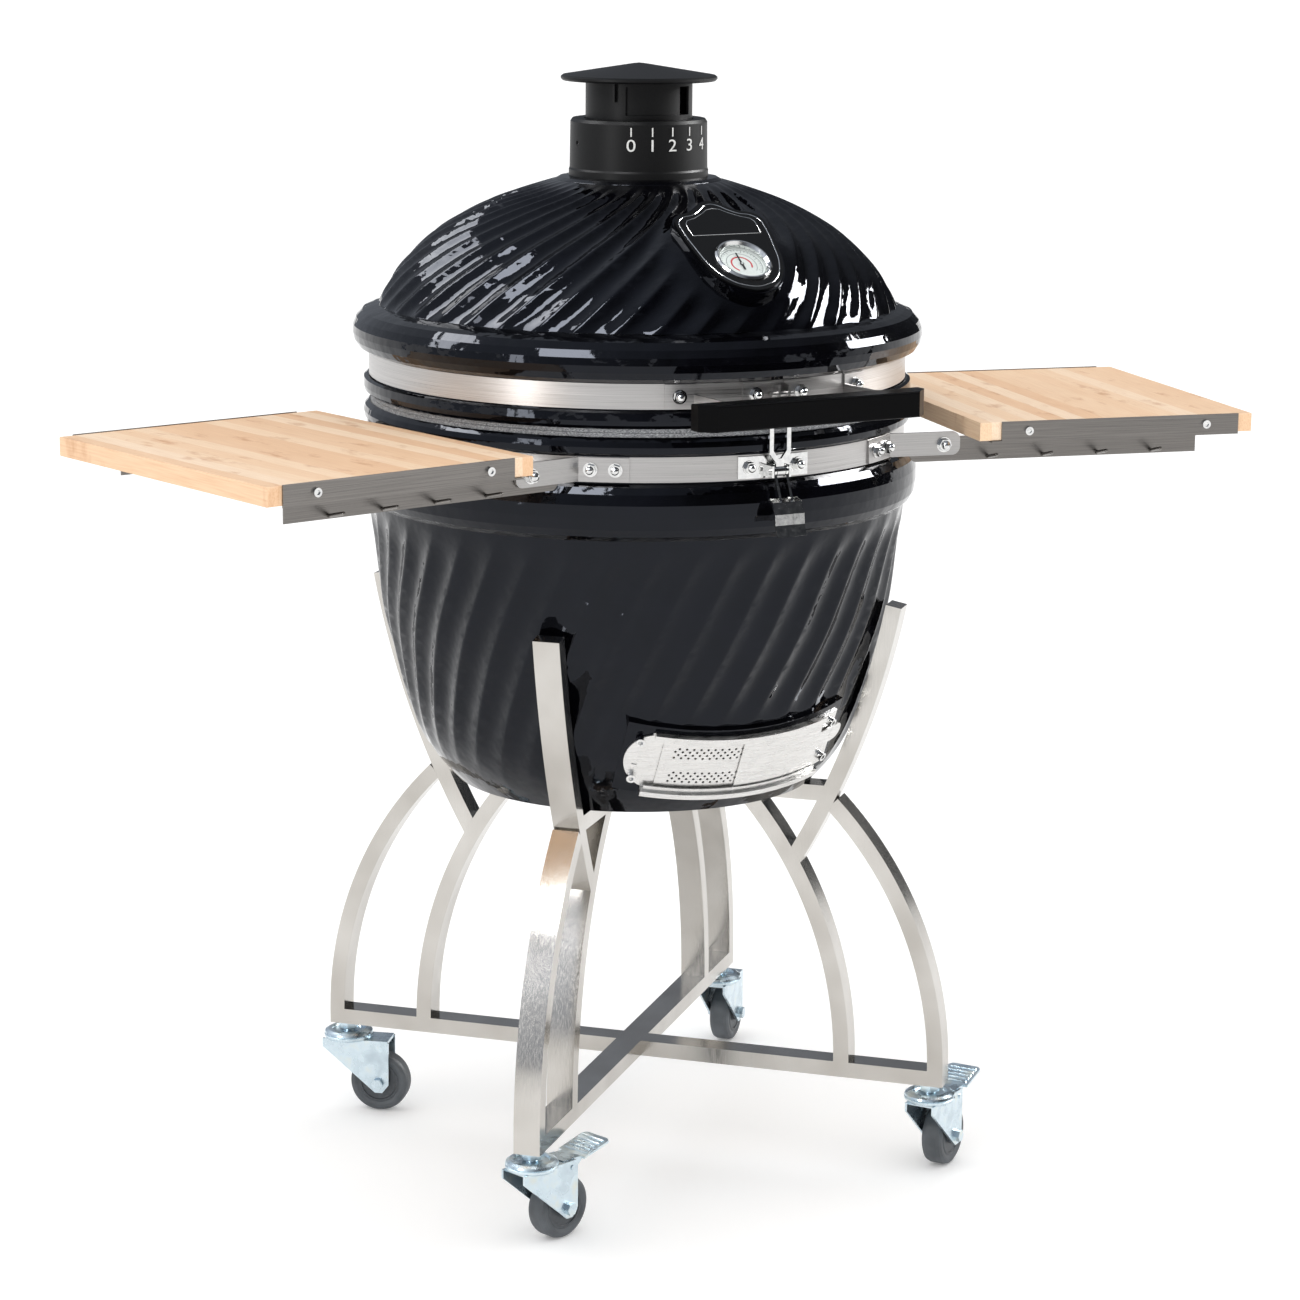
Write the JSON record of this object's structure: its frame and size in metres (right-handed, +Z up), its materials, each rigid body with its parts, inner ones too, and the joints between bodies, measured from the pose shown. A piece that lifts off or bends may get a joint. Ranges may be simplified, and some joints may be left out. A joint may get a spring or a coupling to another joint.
{
  "type": "kamado ceramic grill",
  "caption": "Black fluted ceramic kamado grill on a wheeled tube stand, with folding bamboo shelves, hinged lid with thermometer, latch, turning chimney damper and sliding draft door.",
  "frame": {"origin": "on the floor under the vertical axis of the ceramic body", "axes": "+Z up; -Y is the front, with the draft door, latch, handle and thermometer; +X is the right-hand side as seen from the back"},
  "size_m": [1.1874, 0.6972, 1.115],
  "materials": {
    "stainless_tube": "polished",
    "glazed_ceramic": "gloss",
    "refractory": "matt",
    "cast_grate": "matt",
    "stainless_wire": "satin",
    "felt": "matt",
    "brushed_band": "brushed",
    "bolt_steel": "polished",
    "latch_chrome": "polished",
    "sheet_stainless": "satin",
    "zinc_plate": "satin",
    "tyre_rubber": "matt",
    "hub_plastic": "satin",
    "bamboo": "satin",
    "rail_steel": "brushed",
    "black_coat": "satin",
    "sleeve_steel": "satin",
    "badge_black": "satin",
    "dial_chrome": "polished",
    "dial_white": "matt",
    "dial_glass": "polished",
    "needle_black": "matt"
  },
  "bodies": {
    "stand_and_base": {"base_bars": "stainless_tube", "outer_legs": "stainless_tube", "inner_legs": "stainless_tube", "cradle_struts": "stainless_tube", "cradle_bars": "stainless_tube", "caster_stems": "zinc_plate", "base_shell": "glazed_ceramic", "firebox": "refractory", "fire_ring": "refractory", "charcoal_grate": "cast_grate", "cooking_grate": "stainless_wire", "base_gasket": "felt", "lower_band": "brushed_band", "base_fasteners": "bolt_steel", "latch_plate": "latch_chrome", "draft_frame": "sheet_stainless", "shelf_arms": "brushed_band", "hinge_lower": "brushed_band", "hinge_pin": "bolt_steel"},
    "lid": {"lid_shell": "glazed_ceramic", "lid_gasket": "felt", "upper_band": "brushed_band", "band_clamp": "brushed_band", "handle_bar": "black_coat", "handle_brackets": "brushed_band", "lid_fasteners": "bolt_steel", "hinge_upper": "brushed_band", "chimney_collar": "black_coat", "damper_sleeve": "sleeve_steel", "badge_plate": "badge_black", "dial_case": "dial_chrome", "dial_face": "dial_white", "dial_lens": "dial_glass"},
    "cap": {"damper_cap": "black_coat"},
    "needle": {"dial_needle": "needle_black"},
    "lever": {"latch_lever": "latch_chrome"},
    "link": {"latch_link": "latch_chrome"},
    "door": {"draft_door": "sheet_stainless"},
    "screen": {"draft_screen": "sheet_stainless"},
    "shelf_left": {"shelf_board_left": "bamboo", "shelf_rails_left": "rail_steel", "shelf_screws_left": "bolt_steel"},
    "shelf_right": {"shelf_board_right": "bamboo", "shelf_rails_right": "rail_steel", "shelf_screws_right": "bolt_steel"},
    "caster_rear_left": {"fork_rear_left": "zinc_plate"},
    "wheel_rear_left": {"tyre_rear_left": "tyre_rubber", "hub_rear_left": "hub_plastic"},
    "caster_front_left": {"fork_front_left": "zinc_plate"},
    "wheel_front_left": {"tyre_front_left": "tyre_rubber", "hub_front_left": "hub_plastic"},
    "pedal_front_left": {"pedal_front_left": "zinc_plate"},
    "caster_front_right": {"fork_front_right": "zinc_plate"},
    "wheel_front_right": {"tyre_front_right": "tyre_rubber", "hub_front_right": "hub_plastic"},
    "pedal_front_right": {"pedal_front_right": "zinc_plate"},
    "caster_rear_right": {"fork_rear_right": "zinc_plate"},
    "wheel_rear_right": {"tyre_rear_right": "tyre_rubber", "hub_rear_right": "hub_plastic"}
  },
  "joints": [
    {"name": "lid_hinge", "type": "hinge", "parent": "stand_and_base", "child": "lid", "pos_m": [0, 0.3376, 0.8], "axis": [-1, 0, 0], "range_deg": [0, 75]},
    {"name": "cap_turn", "type": "hinge", "parent": "lid", "child": "cap", "pos_m": [0, 0, 1.08], "axis": [0, 0, 1], "range_deg": [-14, 67]},
    {"name": "needle_turn", "type": "hinge", "parent": "lid", "child": "needle", "pos_m": [-0.0042, -0.2216, 0.9397], "axis": [0, -0.5736, 0.8192], "range_deg": [-130, 110]},
    {"name": "lever_pivot", "type": "hinge", "parent": "stand_and_base", "child": "lever", "pos_m": [0.00633, -0.27893, 0.749], "axis": [-0.9997, -0.0227, 0], "range_deg": [0, 95]},
    {"name": "link_pivot", "type": "hinge", "parent": "stand_and_base", "child": "link", "pos_m": [0.00633, -0.27893, 0.749], "axis": [0.9997, 0.0227, 0], "range_deg": [0, 18]},
    {"name": "door_slide", "type": "hinge", "parent": "stand_and_base", "child": "door", "pos_m": [0, -0.00169, 0.56638], "axis": [0, -0.4415, 0.8973], "range_deg": [-20, 0]},
    {"name": "screen_slide", "type": "hinge", "parent": "stand_and_base", "child": "screen", "pos_m": [0, -0.00169, 0.56638], "axis": [0, -0.4415, 0.8973], "range_deg": [0, 20]},
    {"name": "shelf_left_fold", "type": "hinge", "parent": "stand_and_base", "child": "shelf_left", "pos_m": [-0.25286, -0.08159, 0.7515], "axis": [0.1977, -0.9803, 0], "range_deg": [0, 65]},
    {"name": "shelf_right_fold", "type": "hinge", "parent": "stand_and_base", "child": "shelf_right", "pos_m": [0.25286, -0.08159, 0.7515], "axis": [0.1977, 0.9803, 0], "range_deg": [0, 65]},
    {"name": "swivel_rear_left", "type": "hinge", "parent": "stand_and_base", "child": "caster_rear_left", "pos_m": [-0.22486, 0.22486, 0.085], "axis": [0, 0, 1], "continuous": true},
    {"name": "roll_rear_left", "type": "hinge", "parent": "caster_rear_left", "child": "wheel_rear_left", "pos_m": [-0.19709, 0.20355, 0.0315], "axis": [0.6088, 0.7934, 0], "continuous": true},
    {"name": "swivel_front_left", "type": "hinge", "parent": "stand_and_base", "child": "caster_front_left", "pos_m": [-0.22486, -0.22486, 0.085], "axis": [0, 0, 1], "continuous": true},
    {"name": "roll_front_left", "type": "hinge", "parent": "caster_front_left", "child": "wheel_front_left", "pos_m": [-0.19167, -0.21375, 0.0315], "axis": [-0.3173, 0.9483, 0], "continuous": true},
    {"name": "brake_front_left", "type": "hinge", "parent": "caster_front_left", "child": "pedal_front_left", "pos_m": [-0.18693, -0.21217, 0.072], "axis": [-0.3173, 0.9483, 0], "range_deg": [0, 8]},
    {"name": "swivel_front_right", "type": "hinge", "parent": "stand_and_base", "child": "caster_front_right", "pos_m": [0.22486, -0.22486, 0.085], "axis": [0, 0, 1], "continuous": true},
    {"name": "roll_front_right", "type": "hinge", "parent": "caster_front_right", "child": "wheel_front_right", "pos_m": [0.25405, -0.20554, 0.0315], "axis": [-0.5519, 0.8339, 0], "continuous": true},
    {"name": "brake_front_right", "type": "hinge", "parent": "caster_front_right", "child": "pedal_front_right", "pos_m": [0.25821, -0.20278, 0.072], "axis": [-0.5519, 0.8339, 0], "range_deg": [0, 8]},
    {"name": "swivel_rear_right", "type": "hinge", "parent": "stand_and_base", "child": "caster_rear_right", "pos_m": [0.22486, 0.22486, 0.085], "axis": [0, 0, 1], "continuous": true},
    {"name": "roll_rear_right", "type": "hinge", "parent": "caster_rear_right", "child": "wheel_rear_right", "pos_m": [0.24982, 0.24939, 0.0315], "axis": [-0.7009, 0.7133, 0], "continuous": true}
  ]
}
